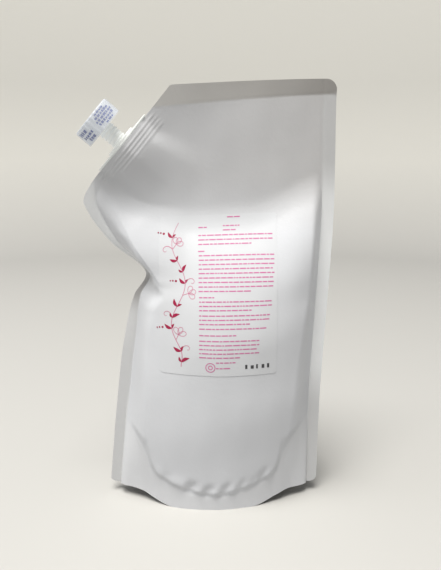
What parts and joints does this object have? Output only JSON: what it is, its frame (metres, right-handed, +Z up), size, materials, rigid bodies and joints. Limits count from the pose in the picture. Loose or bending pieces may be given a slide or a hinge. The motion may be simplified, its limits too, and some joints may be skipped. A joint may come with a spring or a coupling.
{
  "type": "shampoo refill pouch",
  "caption": "Filled stand-up film pouch with a sealed cut corner, a welded spout with a low round screw cap, and a printed front sticker.",
  "frame": {"origin": "middle of the base, on the surface the pouch stands on", "axes": "+Z up, -Y towards the printed front, +X to the right seen from the front, away from the spout"},
  "size_m": [0.1834, 0.0637, 0.3205],
  "materials": {
    "pouch": "satin",
    "spout": "satin",
    "cap": "satin",
    "cap_film": "gloss",
    "front_label": "satin"
  },
  "bodies": {
    "pack": {"pouch": "pouch", "spout": "spout", "front_label": "front_label"},
    "closure": {"cap": "cap", "cap_film": "cap_film"}
  },
  "joints": [
    {"name": "cap_lift", "type": "slide", "parent": "pack", "child": "closure", "axis": [-0.7353, -0.2186, 0.6415], "range_m": [0, 0.03]}
  ]
}
